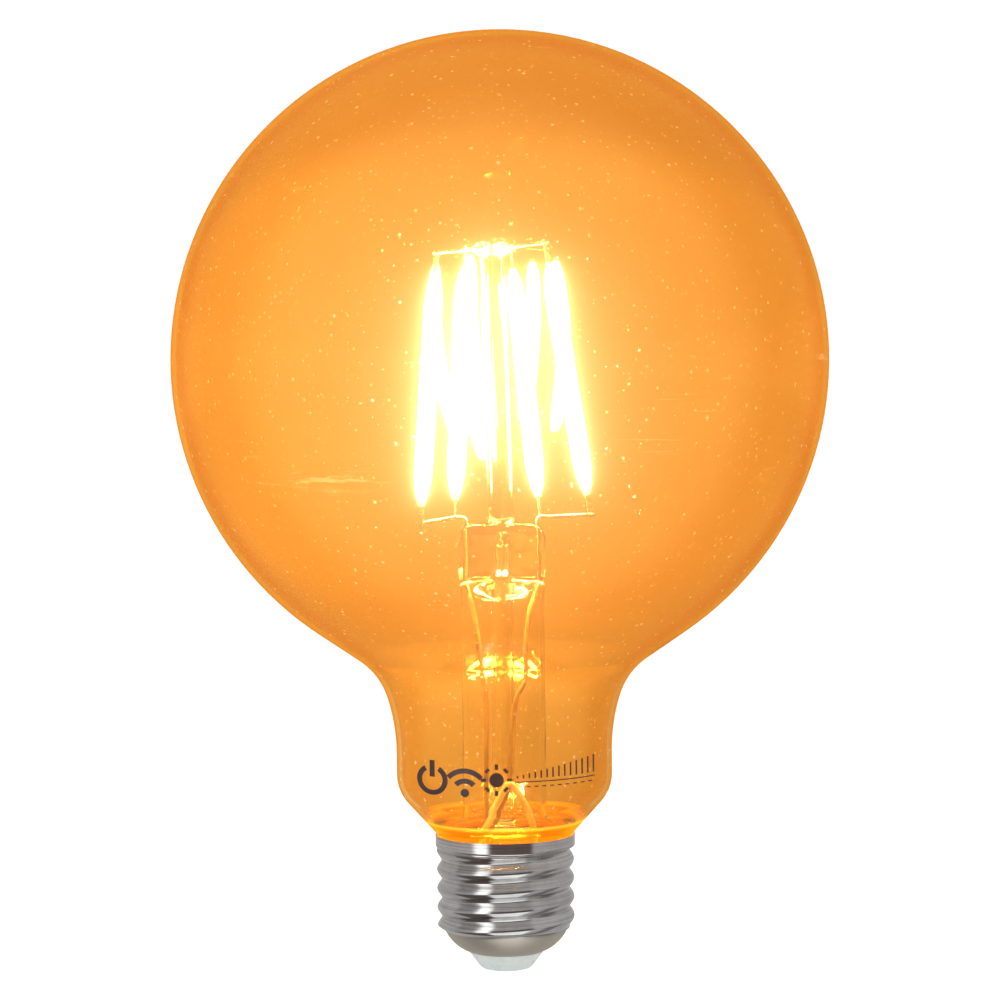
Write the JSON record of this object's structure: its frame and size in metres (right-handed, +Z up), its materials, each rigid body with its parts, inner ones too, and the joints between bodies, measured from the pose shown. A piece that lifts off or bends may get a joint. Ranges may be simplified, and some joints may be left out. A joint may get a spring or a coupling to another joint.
{
  "type": "smart light bulb",
  "caption": "Large amber glass globe lamp with upright LED filaments on a glass stem, a narrow neck and a screw cap that holds a radio-controlled driver.",
  "frame": {"origin": "tip of the centre contact, on the cap's axis", "axes": "+Z up the lamp's axis from the cap to the crown of the globe; -Y is the lamp's front; +X to the right seen from the front"},
  "size_m": [0.125, 0.125, 0.1795],
  "materials": {
    "amber_glass": "clear, amber, blown",
    "clear_glass": "clear, drawn and pressed",
    "nickel_wire": "bright drawn nickel wire and strip",
    "phosphor": "silicone loaded with yellow phosphor, lit",
    "strip_ceramic": "white alumina",
    "led_chip": "blue chips, lit",
    "seal_wire": "copper-clad sealing wire, red oxide",
    "copper_wire": "bright copper",
    "sleeving": "off-white insulation",
    "cement": "hard matte basing cement",
    "cap_nickel": "nickel-plated brass, rolled",
    "cap_insulator": "white, slightly translucent",
    "contact_brass": "tinned brass",
    "board_sleeve": "black insulating film",
    "board_green": "solder mask over fibreglass",
    "board_blue": "solder mask over fibreglass",
    "chip_black": "moulded epoxy",
    "capacitor_sleeve": "shrunk plastic sleeve",
    "ferrite": "grey ferrite",
    "chip_capacitor": "brown fired ceramic",
    "shield_can": "tinned pressed sheet",
    "resistor_body": "pale blue lacquer"
  },
  "bodies": {
    "root": {"globe": "amber_glass", "stem": "clear_glass", "exhaust_tube": "clear_glass", "centre_post": "clear_glass", "support_wire_1": "nickel_wire", "support_wire_2": "nickel_wire", "support_wire_3": "nickel_wire", "support_wire_4": "nickel_wire", "filament_coat_1": "phosphor", "filament_coat_2": "phosphor", "filament_coat_3": "phosphor", "filament_coat_4": "phosphor", "filament_strip_1": "strip_ceramic", "filament_strip_2": "strip_ceramic", "filament_strip_3": "strip_ceramic", "filament_strip_4": "strip_ceramic", "filament_tabs_1": "nickel_wire", "filament_tabs_2": "nickel_wire", "filament_tabs_3": "nickel_wire", "filament_tabs_4": "nickel_wire", "led_chips_1": "led_chip", "led_chips_2": "led_chip", "led_chips_3": "led_chip", "led_chips_4": "led_chip", "lead_in_left": "nickel_wire", "lead_in_right": "nickel_wire", "seal_wire_left": "seal_wire", "seal_wire_right": "seal_wire", "outer_lead_left": "copper_wire", "outer_lead_right": "copper_wire", "lead_sleeve_left": "sleeving", "lead_sleeve_right": "sleeving", "antenna_wire": "sleeving", "basing_cement": "cement", "cap_shell": "cap_nickel", "cap_insulator": "cap_insulator", "centre_contact": "contact_brass", "board_sleeve": "board_sleeve", "driver_board": "board_green", "bridge_rectifier": "chip_black", "driver_chip": "chip_black", "reservoir_capacitor": "capacitor_sleeve", "inductor_core": "ferrite", "inductor_winding": "copper_wire", "chip_resistors": "chip_black", "chip_capacitors": "chip_capacitor", "radio_board": "board_blue", "radio_chip": "chip_black", "radio_shield": "shield_can", "radio_crystal": "shield_can", "radio_pins": "contact_brass", "fusible_resistor": "resistor_body", "centre_contact_wire": "nickel_wire", "side_contact_wire": "nickel_wire"}
  },
  "joints": []
}
